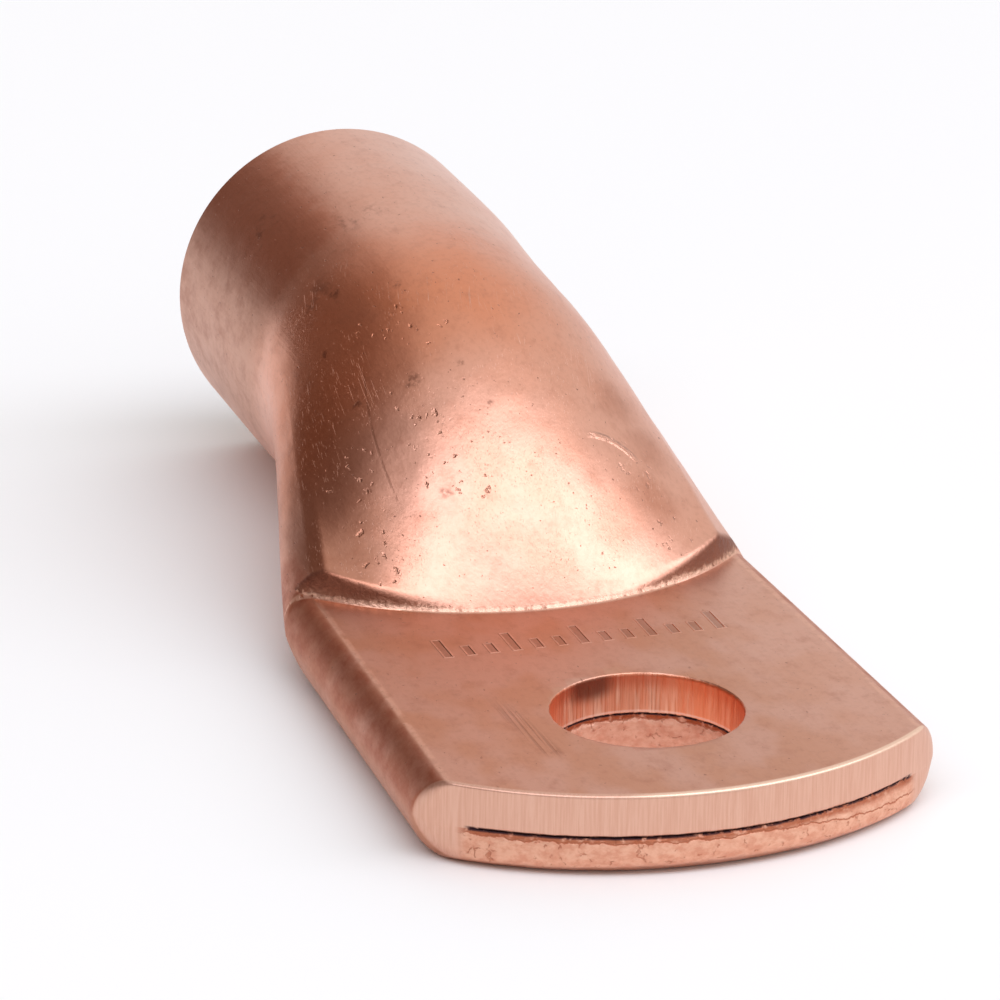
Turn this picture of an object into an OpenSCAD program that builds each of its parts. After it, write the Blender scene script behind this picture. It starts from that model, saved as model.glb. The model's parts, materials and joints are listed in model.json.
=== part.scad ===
// Copper cable lug: one length of tube, open at one end and pressed flat at the other.
// The origin is the centre of the bolt hole on the contact face, +X runs to the mouth of
// the barrel, and +Z is up from the contact face.

/* [Barrel] */
// Outer diameter of the tube
barrel_od = 25; // [23:0.5:28]
// Wall of the tube
wall = 3; // [2:0.1:3.6]
// Distance from the bolt hole to the mouth
mouth_x = 74.4; // [66:0.2:100]
// Distance from the bolt hole to where the tube is round
round_x = 54; // [50:0.5:60]
// Break on the inner edge of the mouth
mouth_break = 0.4; // [0.2:0.1:1]

/* [Palm] */
// Width of the palm across the bolt hole
palm_w = 36.4; // [34:0.2:40]
// Thickness of the palm, which is two walls pressed together
palm_t = 5.8; // [5:0.1:7]
// Narrowing of each side of the palm for each millimetre towards the barrel
palm_taper = 0.024; // [0:0.002:0.04]
// Distance from the bolt hole to the end of the palm
palm_end = 14.25; // [12:0.25:22]
// Radius of the curved end of the palm
end_r = 25.2; // [21:0.2:40]
// Diameter of the bolt hole
bolt_hole_d = 13; // [8.4:0.1:15]
// How far each folded side rounds in from the edge
fold_round = 1.9; // [1.2:0.1:2.8]
// Rounding of the lower edge of the curved end
end_roll = 1.8; // [0.4:0.1:2.4]
// Rounding of the upper edge of the curved end
end_break = 0.3; // [0.1:0.1:1]

/* [Seam] */
// Height of the seam between the two pressed walls
seam_z = 2.8; // [2.3:0.1:3.2]
// Gap that is left along the seam
seam_gap = 0.16; // [0.1:0.02:0.3]
// Solid copper beyond the seam at each folded side
fold_wall = 3; // [2:0.1:4]

/* [Throat] */
// Distance from the bolt hole to the lip, on the centre line
lip_x = 19.2; // [17:0.2:22]
// Radius of the lip, seen from above
lip_r = 22; // [20:0.5:30]
// Distance from the bolt hole to where the sides start to draw in
fold_x = 26.4; // [25:0.2:30]
// How much earlier than evenly the sides draw in
draw_in = 0.52; // [0.2:0.02:0.9]
// How much earlier than evenly the top rises
top_rise = 1; // [0.5:0.05:1.2]
// Extra height of the crown of the throat
crown = 3.1; // [0:0.1:4]
// Height of the small step at each end of the lip
step_h = 1.45; // [0:0.05:2]

/* [Hidden] */
barrel_r = barrel_od / 2;
bore_r = barrel_r - wall;
// The underside of the barrel is level with the contact face
axis_z = barrel_r;
end_x = end_r - palm_end;
// Width of the palm where the sides start to draw in
throat_w = palm_w - 2 * palm_taper * fold_x;
slit_w = throat_w - 2 * fold_wall;
// Centre height of the two pressed walls
mid_z = palm_t / 2;
// A cut or a lap reaches this far past the face it meets
lap = 2;
// The faceted throat ends this far inside the true round of the barrel
tuck = 0.04;
throat_end = round_x - lap / 4;
// The hollow turns into the seam this much nearer to the mouth than the outside turns flat
hollow_shift = wall / 2;
// The step at the end of the lip starts this far from the centre line and grows over this run
step_from = 6;
step_run = 9;
// How sharply the step grows along the lip, and fades up the throat
STEP_GROWTH = 1.5;
STEP_FADE = 3;
// Makes the crown's curve reach 1 at its highest, a third of the way up the throat
CROWN_PEAK = 27 / 4;
// A quarter of an ellipse is this many times the diagonal of its half-axes
QUARTER_ARC = 1.11;
// The lip is followed out to this share of its radius
LIP_REACH = 0.98;
// The seam thins to nothing over this length at each end
seam_end = 1.5;
// Points along each rounded side of a half section, and along the flat between them
SIDE = 3;
MID = 26;
HALF = MID + 2 * SIDE;
// Places of the sections along the throat, closer together near the lip
STATIONS = [0, 0.025, 0.06, 0.1, 0.15, 0.2, 0.26, 0.33, 0.4, 0.48, 0.56, 0.65, 0.74, 0.83, 0.92, 1];
// Facets of a full circle, and degrees between the points of a rounded edge
FINE = 120;
ROLL_STEP = 15;

// Ease from 0 to 1 that ends level; lead is how early it rises
function ease(u, lead) = u + lead * u * (1 - u) + (lead - 1) * u * (1 - u) * (1 - 2 * u);
// Length of a quarter of the rounded side, for half-axes a and b
function quarter(a, b) = QUARTER_ARC * sqrt(a * a + b * b);
// Share of the half-way round at point i, with points at the ends of each rounded side
function share(i, q) = i <= SIDE ? q * i / SIDE
    : i >= HALF - SIDE ? 1 - q * (HALF - i) / SIDE
    : q + (1 - 2 * q) * (i - SIDE) / MID;
// Share of a pressed half section that its rounded side takes up
function side_share(w, t, r) = quarter(r, t / 2) / (2 * quarter(r, t / 2) + w - 2 * r);
// Half of a pressed section: how far along its rounded side, or 1 on the flat
function round_in(s, q) = min(1, min(s, 1 - s) / q);
function flat_y(s, w, r, q) =
    let (e = min(s, 1 - s), side = s < 0.5 ? 1 : -1)
    e < q ? side * (w / 2 - r + r * cos(90 * e / q))
    : side * (w / 2 - r) * (0.5 - e) / (0.5 - q);
function flat_z(s, t, q) = t / 2 * sin(90 * round_in(s, q));
// Place of the lip along the length, at width y, for a lip that starts at x0
function lip_at(y, x0) = x0 + lip_r - sqrt(pow(lip_r, 2) - pow(min(abs(y), lip_r * LIP_REACH), 2));
// Height of the step at width y, just up the throat from the lip
function step_at(y, u) =
    u == 0 ? 0
    : step_h * pow(min(1, max(0, abs(y) - step_from) / step_run), STEP_GROWTH) * pow(1 - u, STEP_FADE);

// One point of the throat: u along it, i around the half, up is 1 over the top and -1 below.
// The pressed section is w wide and t thick about height z0, and the round has radius r.
function throat_point(u, i, up, w, t, z0, r, rr, shift) =
    let (q = side_share(w, t, rr),
         s = share(i, q),
         yf = flat_y(s, w, rr, q),
         zf = flat_z(s, t, q),
         in = round_in(s, q),
         bend = 180 * s,
         start = fold_x + shift + in * ((up > 0 ? lip_at(yf, lip_x) : lip_x) - fold_x),
         x = start + (throat_end - start) * u,
         k = ease(u, draw_in),
         kz = up > 0 ? ease(u, top_rise) : k,
         y = (1 - k) * yf + k * r * cos(bend),
         z = (1 - k) * z0 + k * axis_z + up * ((1 - kz) * zf + kz * r * sin(bend)),
         bulge = crown * CROWN_PEAK * u * pow(1 - u, 2) * pow(sin(bend), 2),
         high = up > 0 ? bulge + step_at(yf, u) * in : 0)
    [x, y, z + high];

function throat_ring(u, w, t, z0, r, rr, shift) = concat(
    [for (i = [0 : HALF]) throat_point(u, i, 1, w, t, z0, r, rr, shift)],
    [for (i = [HALF - 1 : -1 : 1]) throat_point(u, i, -1, w, t, z0, r, rr, shift)]);
// A pressed section, straight across at x
function pressed_ring(x, w, t, z0, rr) =
    let (q = side_share(w, t, rr))
    concat(
        [for (i = [0 : HALF]) [x, flat_y(share(i, q), w, rr, q), z0 + flat_z(share(i, q), t, q)]],
        [for (i = [HALF - 1 : -1 : 1]) [x, flat_y(share(i, q), w, rr, q), z0 - flat_z(share(i, q), t, q)]]);
// A round section, with its points where the throat has them
function round_ring(x, w, t, r, rr) =
    let (q = side_share(w, t, rr))
    concat(
        [for (i = [0 : HALF]) [x, r * cos(180 * share(i, q)), axis_z + r * sin(180 * share(i, q))]],
        [for (i = [HALF - 1 : -1 : 1]) [x, r * cos(180 * share(i, q)), axis_z - r * sin(180 * share(i, q))]]);

// Skin over a row of rings that have the same number of points
module loft(rings) {
    n = len(rings[0]);
    m = len(rings);
    polyhedron(
        points = [for (ring = rings) each ring],
        faces = concat(
            [[for (j = [0 : n - 1]) j]],
            [for (i = [0 : m - 2], j = [0 : n - 1]) [i * n + j, (i + 1) * n + j, i * n + (j + 1) % n]],
            [for (i = [0 : m - 2], j = [0 : n - 1])
                [(i + 1) * n + j, (i + 1) * n + (j + 1) % n, i * n + (j + 1) % n]],
            [[for (j = [n - 1 : -1 : 0]) (m - 1) * n + j]]));
}

// Outside of the palm and throat
module pressed_body() {
    start = -palm_end - lap;
    loft(concat(
        [pressed_ring(start, palm_w - 2 * palm_taper * start, palm_t, mid_z, fold_round)],
        [for (u = STATIONS) throat_ring(u, throat_w, palm_t, mid_z, barrel_r - tuck, fold_round, 0)],
        [round_ring(round_x + lap, throat_w, palm_t, barrel_r - tuck, fold_round)]));
}

// Hollow of the throat, which closes to the seam in the palm
module pressed_hollow() {
    start = -palm_end - lap;
    loft(concat(
        [pressed_ring(start, palm_w - 2 * palm_taper * start - 2 * fold_wall, seam_gap, seam_z, seam_end)],
        [for (u = STATIONS) throat_ring(u, slit_w, seam_gap, seam_z, bore_r - tuck, seam_end, hollow_shift)],
        [round_ring(round_x + lap, slit_w, seam_gap, bore_r - tuck, seam_end)]));
}

module along_barrel(x) {
    translate([x, 0, axis_z]) rotate([0, 90, 0]) children();
}

// Half of the section through the middle of the curved end, with its two rounded edges
module end_profile() {
    polygon(concat(
        [[0, -2 * lap], [end_r - end_roll, -2 * lap]],
        [for (a = [0 : ROLL_STEP : 90]) [end_r - end_roll * (1 - sin(a)), end_roll * (1 - cos(a))]],
        [for (a = [0 : ROLL_STEP : 90]) [end_r - end_break * (1 - cos(a)), palm_t - end_break * (1 - sin(a))]],
        [[end_r - end_break, palm_t + 2 * lap], [0, palm_t + 2 * lap]]));
}

// Everything outside the curved end of the palm
module end_trim() {
    difference() {
        translate([-palm_end - 2 * lap, -palm_w, -lap])
            cube([end_x, 2 * palm_w, palm_t + 2 * lap]);
        translate([end_x, 0, 0]) rotate_extrude($fn = FINE) end_profile();
    }
}

module cable_lug() {
    color("#c98068") difference() {
        union() {
            pressed_body();
            along_barrel(round_x) cylinder(r = barrel_r, h = mouth_x - round_x, $fn = FINE);
        }
        pressed_hollow();
        along_barrel(round_x) cylinder(r = bore_r, h = mouth_x - round_x + lap, $fn = FINE);
        along_barrel(mouth_x - mouth_break)
            cylinder(r1 = bore_r, r2 = bore_r + mouth_break + lap, h = mouth_break + lap, $fn = FINE);
        end_trim();
        translate([0, 0, -lap]) cylinder(d = bolt_hole_d, h = palm_t + 2 * lap, $fn = FINE);
    }
}

cable_lug();
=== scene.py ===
# %% [markdown]
# # A copper cable lug
# A cable lug joins a thick cable to a bolt. It is one length of copper tube: the round end
# takes the stripped cable and is crimped onto it, and the other end is pressed flat, punched
# for the bolt and cut to a curve. It could be put together from a tube, a plate and a blend
# between them. The real one is a single tube out of a press, so this lesson lathes a tube,
# presses it by one rule, gives it worn bare copper and lights it softly.
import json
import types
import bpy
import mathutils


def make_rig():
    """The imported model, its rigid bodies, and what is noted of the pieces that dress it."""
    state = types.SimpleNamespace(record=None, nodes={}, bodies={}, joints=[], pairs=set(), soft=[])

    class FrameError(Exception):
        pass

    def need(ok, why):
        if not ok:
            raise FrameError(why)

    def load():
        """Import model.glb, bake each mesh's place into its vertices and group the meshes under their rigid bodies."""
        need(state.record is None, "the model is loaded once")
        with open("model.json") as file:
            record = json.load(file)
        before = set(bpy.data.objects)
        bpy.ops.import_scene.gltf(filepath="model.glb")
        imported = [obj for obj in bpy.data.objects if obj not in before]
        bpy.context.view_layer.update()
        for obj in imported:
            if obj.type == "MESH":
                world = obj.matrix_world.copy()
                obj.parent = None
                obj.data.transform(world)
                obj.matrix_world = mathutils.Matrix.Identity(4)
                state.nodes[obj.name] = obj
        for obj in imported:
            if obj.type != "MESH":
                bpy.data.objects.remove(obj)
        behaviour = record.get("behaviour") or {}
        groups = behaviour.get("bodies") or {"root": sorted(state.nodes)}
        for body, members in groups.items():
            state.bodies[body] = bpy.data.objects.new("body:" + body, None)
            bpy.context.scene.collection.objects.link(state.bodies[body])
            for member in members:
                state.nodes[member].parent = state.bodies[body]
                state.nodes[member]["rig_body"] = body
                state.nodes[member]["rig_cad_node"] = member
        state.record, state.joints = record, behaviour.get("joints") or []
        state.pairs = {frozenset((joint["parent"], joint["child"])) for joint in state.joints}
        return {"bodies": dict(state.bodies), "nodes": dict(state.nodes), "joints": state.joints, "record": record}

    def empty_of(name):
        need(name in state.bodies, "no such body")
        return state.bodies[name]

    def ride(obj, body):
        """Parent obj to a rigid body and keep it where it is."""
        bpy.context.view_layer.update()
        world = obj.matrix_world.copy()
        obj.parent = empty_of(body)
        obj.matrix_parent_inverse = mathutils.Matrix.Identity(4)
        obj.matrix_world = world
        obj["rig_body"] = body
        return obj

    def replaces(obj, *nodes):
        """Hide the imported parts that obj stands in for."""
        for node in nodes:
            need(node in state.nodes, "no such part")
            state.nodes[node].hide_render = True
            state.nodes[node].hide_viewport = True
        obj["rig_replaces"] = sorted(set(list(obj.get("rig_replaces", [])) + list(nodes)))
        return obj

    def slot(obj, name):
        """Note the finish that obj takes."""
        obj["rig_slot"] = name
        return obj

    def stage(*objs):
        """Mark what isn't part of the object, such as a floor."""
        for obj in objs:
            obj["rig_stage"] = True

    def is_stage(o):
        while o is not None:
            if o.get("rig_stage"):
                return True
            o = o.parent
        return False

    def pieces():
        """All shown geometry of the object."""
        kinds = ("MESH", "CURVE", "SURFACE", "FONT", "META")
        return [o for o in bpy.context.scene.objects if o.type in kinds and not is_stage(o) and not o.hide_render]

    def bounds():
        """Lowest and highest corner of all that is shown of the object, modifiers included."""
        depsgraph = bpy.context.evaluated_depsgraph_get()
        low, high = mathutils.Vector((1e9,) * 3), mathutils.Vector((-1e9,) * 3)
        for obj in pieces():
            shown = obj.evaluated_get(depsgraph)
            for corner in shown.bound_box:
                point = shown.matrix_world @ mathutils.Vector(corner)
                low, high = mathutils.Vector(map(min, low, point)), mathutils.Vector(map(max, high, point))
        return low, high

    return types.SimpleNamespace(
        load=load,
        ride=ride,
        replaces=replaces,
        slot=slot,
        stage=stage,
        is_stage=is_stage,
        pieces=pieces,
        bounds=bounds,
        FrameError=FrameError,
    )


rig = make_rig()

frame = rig.load()
solid_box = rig.bounds()
print("the solid model's box", solid_box)

# %% [markdown]
# ## The camera
# The lug is seen from the palm's end and a little above, with a long lens, so it is strongly
# foreshortened. A camera could be aimed at a point, but a place, three turns and a focal
# length leave nothing to chance. They are set first, so that every later step can be judged
# through them.

# %% Camera
import json
import math

import bmesh
import bpy
import numpy as np
from mathutils import Matrix, Vector, noise

CAMERA_PLACE = Vector((-0.32901, 0.118966, 0.149597))
YAW, TILT, ROLL = -0.3140154, -0.3520208, 0.0122964
FOCAL_MM, SENSOR_MM = 203.54, 36
SHIFT_X, SHIFT_Y = 0.0228, -0.0085
NEAREST, FARTHEST = 0.01, 20

forward = Vector((math.cos(TILT) * math.cos(YAW), math.cos(TILT) * math.sin(YAW),
                  math.sin(TILT)))
level = forward.cross(Vector((0, 0, 1))).normalized()
upright = level.cross(forward)
right = math.cos(ROLL) * level + math.sin(ROLL) * upright
up = math.cos(ROLL) * upright - math.sin(ROLL) * level
lens = bpy.data.cameras.new("view")
lens.sensor_width, lens.lens = SENSOR_MM, FOCAL_MM
lens.shift_x, lens.shift_y = SHIFT_X, SHIFT_Y
lens.clip_start, lens.clip_end = NEAREST, FARTHEST
lens.dof.use_dof = False
camera = bpy.data.objects.new("view", lens)
turned = Matrix((right, up, -forward)).transposed().to_4x4()
camera.matrix_world = Matrix.Translation(CAMERA_PLACE) @ turned
bpy.context.scene.collection.objects.link(camera)
bpy.context.scene.camera = camera
bpy.context.scene.view_settings.view_transform = "Standard"
print("camera at", [round(v, 3) for v in CAMERA_PLACE], "focal length", lens.lens)

# %% [markdown]
# ## The tube
# The real lug starts as a plain tube, so the model does too. A cylinder with a wall given to
# it would do, but its rows of points would be even. Here the wall of the tube, seen from the
# side, is a long thin rectangle: a plane whose edges are divided and whose face is taken
# away, which is then spun about the axis like work on a lathe. The divisions are chosen for
# what comes later, with many on the outside, some down the bore, and a close row across the
# wall at the end that will be seen. All of it is in millimetres until the piece is finished.

# %% Helpers for the tube
BARREL_R, WALL, LENGTH = 12.5, 3.0, 100.0
AROUND = 352  # columns of points round the tube
OUTSIDE_CUTS, BORE_CUTS, FACE_CUTS, MOUTH_CUTS = (12, 11), (27,), (27,), (7,)
CLOSE = 0.01  # a point this near to a line of the rectangle is on it


def only(piece):
    """Leaves one piece selected and active."""
    bpy.ops.object.select_all(action="DESELECT")
    piece.select_set(True)
    bpy.context.view_layer.objects.active = piece


def divide_edges(test, *cuts):
    """Divides the wire edges whose two ends both pass the test, once for each number of cuts."""
    for number in cuts:
        shape = bmesh.from_edit_mesh(bpy.context.object.data)
        for edge in shape.edges:
            edge.select = all(test(point.co) for point in edge.verts)
        bmesh.update_edit_mesh(bpy.context.object.data)
        bpy.ops.mesh.subdivide(number_cuts=number)
        bpy.ops.mesh.select_all(action="DESELECT")


print("a tube of", 2 * BARREL_R, "mm with a wall of", WALL, "mm")

# %% Spin the tube
bpy.ops.object.select_all(action="DESELECT")
bpy.ops.mesh.primitive_plane_add(size=1, location=(0, 0, 0))
lug = bpy.context.object
lug.name = lug.data.name = "lug_body"
bpy.ops.object.mode_set(mode="EDIT")
bpy.ops.mesh.select_mode(type="EDGE")
bpy.ops.mesh.select_all(action="SELECT")
bpy.ops.transform.resize(value=(LENGTH, WALL, 1))
bpy.ops.transform.translate(value=(LENGTH / 2, BARREL_R - WALL / 2, 0))
bpy.ops.mesh.delete(type="ONLY_FACE")
bpy.ops.mesh.select_mode(type="VERT")
bpy.ops.mesh.select_mode(type="EDGE")
bpy.ops.mesh.select_all(action="DESELECT")
divide_edges(lambda co: co.y > BARREL_R - CLOSE, *OUTSIDE_CUTS)
divide_edges(lambda co: co.y < BARREL_R - WALL + CLOSE, *BORE_CUTS)
divide_edges(lambda co: co.x < CLOSE, *FACE_CUTS)
divide_edges(lambda co: co.x > LENGTH - CLOSE, *MOUTH_CUTS)
bpy.ops.mesh.select_all(action="SELECT")
bpy.ops.mesh.spin(steps=AROUND, angle=2 * math.pi, center=(0, 0, 0), axis=(1, 0, 0))
bpy.ops.mesh.select_all(action="SELECT")
bpy.ops.mesh.remove_doubles(threshold=0.001)
bpy.ops.mesh.normals_make_consistent(inside=False)
bpy.ops.object.mode_set(mode="OBJECT")
print("tube:", len(lug.data.vertices), "points,", len(lug.data.polygons), "faces")

# %% [markdown]
# ## Pressing it flat
# A press can't stretch the copper much, so the girth stays as it was: each point of the round
# section keeps its share of the way round when the section turns flat. The points could be
# pushed about by hand, or pulled by a lattice, but that rule gives the folded sides, the
# narrowing of the flat part and the swelling of the throat by itself. The lip, where the
# press stopped, is an arc seen from above. The bore closes to a seam by the same rule. The
# sizes are those of the solid model.

# %% Sizes of the pressed part, in millimetres
PALM_W, PALM_T, PALM_TAPER, PALM_END, END_R = 36.4, 5.8, 0.024, 14.25, 25.2
FOLD_X, LIP_X, LIP_R, MOUTH_X, THROAT_END = 26.4, 19.2, 22.0, 74.4, 53.5
DRAW_IN, TOP_RISE, CROWN, STEP = 0.52, 1.0, 3.1, 1.45
SEAM_Z, SEAM_GAP, SEAM_END, FOLD_WALL, FOLD_ROUND = 2.8, 0.10, 1.5, 3.0, 1.9
FAR = -PALM_END - 2.0
END_X = END_R - PALM_END
OUTSIDE = dict(width=PALM_W - 2 * PALM_TAPER * FOLD_X, thick=PALM_T, mid=PALM_T / 2,
               fold=FOLD_ROUND, radius=BARREL_R, shift=0.0)
HOLLOW = dict(width=OUTSIDE["width"] - 2 * FOLD_WALL, thick=SEAM_GAP, mid=SEAM_Z,
              fold=SEAM_END, radius=BARREL_R - WALL, shift=WALL / 2)
print("width where the throat starts", round(OUTSIDE["width"], 2), "mm")

# %% The flat section
QUARTER_ARC = 1.11  # a quarter of an ellipse, over the diagonal of its half-axes
FLATTEN = 1.15  # above 1 the folded sides are flatter and meet the face at a crisper ridge


def flat_section(share, width, thick, fold):
    """Half of a flat section with rounded sides: y, height and how far in from the fold."""
    quarter = QUARTER_ARC * math.hypot(fold, thick / 2)
    part = quarter / (2 * quarter + width - 2 * fold)
    near = np.minimum(share, 1 - share)
    inward = np.clip(near / part, 0, 1)
    turn = inward * math.pi / 2
    reach = np.where(near < part, width / 2 - fold + fold * np.cos(turn) ** FLATTEN,
                     (width / 2 - fold) * (0.5 - near) / (0.5 - part))
    return np.where(share < 0.5, reach, -reach), thick / 2 * np.sin(turn) ** FLATTEN, inward


print("a fold takes up", round(QUARTER_ARC * math.hypot(FOLD_ROUND, PALM_T / 2), 2), "mm")

# %% The curves of the end and the lip
LIP_REACH = 0.98  # the lip is followed out to this share of its radius


def end_curve(y):
    """Where the curved end of the palm is, at each width."""
    return END_X - np.sqrt(END_R**2 - y**2)


def lip_curve(y):
    """Where the lip is, at each width."""
    return LIP_X + LIP_R - np.sqrt(LIP_R**2 - np.minimum(np.abs(y), LIP_REACH * LIP_R) ** 2)


def ease(u, lead):
    """From 0 to 1, ending level; lead is how early it rises."""
    return u + lead * u * (1 - u) + (lead - 1) * u * (1 - u) * (1 - 2 * u)


print("the lip runs", round(float(lip_curve(PALM_W / 2) - LIP_X), 1), "mm back at the sides")

# %% The small steps at the ends of the lip
LEAF = 1.25  # a step bulges this much more at its middle than the solid's,
LEAF_FROM, LEAF_TO = 6.0, 17.9  # it starts and ends this far from the centre line,
EARLIER = 0.8  # and the one on the -Y side lies this much further in
LEAF_RUN, LEAF_TAPER, LEAF_GROWTH = 9, 3.0, 1.5
STEP_FADE, STEP_RISE = 3, 0.024


def leaf_step(y_flat, on_left, u):
    """The height of the steps, up the throat from the lip."""
    out = np.abs(y_flat) + np.where(on_left, 0, EARLIER)
    leaf = (np.clip((out - LEAF_FROM) / LEAF_RUN, 0, 1) ** LEAF_GROWTH
            * np.clip((LEAF_TO - out) / LEAF_TAPER, 0, 1))
    rise = np.sin(np.clip(u / STEP_RISE, 0, 1) * math.pi / 2)
    return LEAF * STEP * leaf * (1 - u) ** STEP_FADE * rise


print("a step is", round(LEAF * STEP, 1), "mm high at its middle")

# %% The press
PALM_SHARE, THROAT_SHARE = 0.26, 0.88  # how much of the tube is palm, and palm with throat
CROWN_PEAK = 27 / 4  # makes the crown's curve reach 1 at its highest
PALM_CROWDING, THROAT_CROWDING = 0.8, 0.6  # how much closer the rows are near the lip


def press(along, share, side, roll, width, thick, mid, fold, radius, shift):
    """Moves points of a round tube to where the press puts them."""
    y_flat, z_flat, inward = flat_section(share, width, thick, fold)
    y_far = flat_section(share, width + 2 * PALM_TAPER * (FOLD_X - FAR), thick, fold)[0]
    top = side > 0
    start = FOLD_X + shift + inward * (np.where(top, lip_curve(y_flat), LIP_X) - FOLD_X)
    spread = lambda x: y_flat + (y_far - y_flat) * (start - x) / (start - FAR)
    x_end = np.full_like(share, -PALM_END)
    for _ in range(6):  # the end's place and the width there depend on each other
        x_end = end_curve(spread(x_end))
    part = np.clip(along / PALM_SHARE, 0, 1)
    part = part - PALM_CROWDING * np.sin(2 * math.pi * part) / (2 * math.pi)
    x_palm = x_end + roll + (start - x_end - roll) * part
    part = np.clip((along - PALM_SHARE) / (THROAT_SHARE - PALM_SHARE), 0, 1)
    u = part - THROAT_CROWDING * np.sin(math.pi * part) / math.pi
    k = ease(u, DRAW_IN)
    k_top = np.where(top, ease(u, TOP_RISE), k)
    bend = math.pi * share
    past = np.clip((along - THROAT_SHARE) / (1 - THROAT_SHARE), 0, 1)
    x = start + (THROAT_END - start) * u + (MOUTH_X - THROAT_END) * past
    y = (1 - k) * y_flat + k * radius * np.cos(bend)
    height = (1 - k_top) * z_flat + k_top * radius * np.sin(bend)
    bulge = CROWN * CROWN_PEAK * u * (1 - u) ** 2 * np.sin(bend) ** 2
    bulge = bulge + leaf_step(y_flat, share < 0.5, u) * inward
    z = (1 - k) * mid + k * BARREL_R + side * height + np.where(top, bulge, 0)
    flat = along <= PALM_SHARE
    return np.stack([np.where(flat, x_palm, x), np.where(flat, spread(x_palm), y),
                     np.where(flat, mid + side * z_flat, z)], axis=1)


print("the palm takes", round(PALM_SHARE * LENGTH), "mm of the tube's length")

# %% Where each point is on the tube
def points_of(piece):
    """The places of a piece's points, one row each."""
    places = np.empty(3 * len(piece.data.vertices))
    piece.data.vertices.foreach_get("co", places)
    return places.reshape(-1, 3)


def move_points(piece, places):
    """Moves a piece's points to new places."""
    piece.data.vertices.foreach_set("co", places.ravel())
    piece.data.update()


tube = points_of(lug)
along = np.clip(tube[:, 0] / LENGTH, 0, 1)
angle = np.arctan2(tube[:, 2], tube[:, 1])
side = np.where(angle >= 0, 1.0, -1.0)
share = np.abs(angle) / math.pi
depth = np.clip((BARREL_R - np.hypot(tube[:, 1], tube[:, 2])) / WALL, 0, 1)
rim, mouth = along < 1e-4, along > 1 - 1e-4
print(int(rim.sum()), "points in the end face,", int(mouth.sum()), "round the mouth")

# %% Press the tube
END_BREAK, END_ROLL, FOLD_ROLL = 0.3, 1.8, 0.8  # how far the end's edges round, and at a fold
NECK, NECK_X, NECK_RUN = 0.62, 51, 7  # the shoulder is drawn in, most of all on its -Y side
NECK_LEAST, NECK_Y, NECK_Z = 0.4, -0.64, 0.77

inward = flat_section(share, OUTSIDE["width"], PALM_T, OUTSIDE["fold"])[2]
roll = FOLD_ROLL + (np.where(side > 0, END_BREAK, END_ROLL) - FOLD_ROLL) * inward
outer = press(along, share, side, roll, **OUTSIDE)
round_y, round_z = outer[:, 1] / BARREL_R, outer[:, 2] / BARREL_R - 1
neck = NECK * np.exp(-(((outer[:, 0] - NECK_X) / NECK_RUN) ** 2)) * np.clip(1 + round_z, 0, 1)
neck *= NECK_LEAST + (1 - NECK_LEAST) * np.clip(NECK_Z * round_z + NECK_Y * round_y, 0, 1)
outer[:, 1] -= neck * round_y
outer[:, 2] -= neck * round_z
inner = press(along, share, side, 0 * roll, **HOLLOW)
crowded = depth - 0.5 * np.sin(2 * math.pi * depth) / (2 * math.pi)
depth = np.where(rim, crowded, depth)
pressed = outer + (inner - outer) * depth[:, None]
reach = depth * np.linalg.norm((inner - outer)[:, 1:], axis=1)
print("the shoulder is drawn in by up to", round(float(neck.max()), 2), "mm")

# %% [markdown]
# ## The end face
# The palm is cut to its curve in a press tool, which leaves two kinds of surface. The upper
# wall is sheared smooth. Just above and below the seam the copper has torn, and the lower edge
# is rolled round where it met the die. A bump in the finish could draw that, but it would look
# flat from the side. The face has its own close rows of points, so the roll, the groove at the
# seam and the torn ledge are real relief.

# %% Relief of the end face
def rough(y, z, size, seed, octaves=3):
    """Seeded noise about 0, with features of the given size in millimetres."""
    return np.array([noise.fractal(Vector((a / size, b / size, seed)), 0.6, 2.0, octaves)
                     for a, b in zip(y, z)])


def peak(distance, width):
    """1 at no distance, falling to 0 past the width."""
    return np.exp(-((distance / width) ** 2))


def torn_relief(y, z):
    """How deep the groove, the torn ledge and the grit are below the sheared face."""
    middle = np.clip((15.6 - np.abs(y)) / 1.5, 0, 1)
    groove = 0.18 * peak(z - SEAM_Z, 0.13 + 0.05 * rough(y, 0 * y, 1.2, 4.5))
    ledge = SEAM_Z - 0.38 - 0.85 * np.clip((-y - 3) / 11, 0, 1) + 0.14 * rough(y, 0 * y, 2.2, 7.5)
    torn = np.clip((z - ledge) / 0.12, 0, 1) * np.clip((SEAM_Z - z) / 0.1, 0, 1)
    crack = 0.07 * peak(z - ledge, 0.07) * (0.5 + 0.9 * rough(y, 0 * y, 0.9, 3.5))
    crumbs = (0.08 + 0.07 * rough(y, z, 0.8, 2.5)) * np.clip((z - ledge) / 0.3, 0.3, 1)
    grit = 0.035 * (0.8 + rough(y, z, 1.3, 12.5, 4)) * np.clip((SEAM_Z - z) / 0.2, 0, 1)
    return middle * (groove + torn * np.maximum(crumbs, 0) + np.maximum(crack, 0)) + grit


def rounding(size, distance):
    """How far a rounded edge of a size falls back, at a distance in from it."""
    return size - np.sqrt(np.maximum(size**2 - np.maximum(size - distance, 0) ** 2, 0))


print("the groove at the seam is about 0.2 mm deep")

# %% Shape the end face and the mouth
MOUTH_BREAK = 0.4

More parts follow.
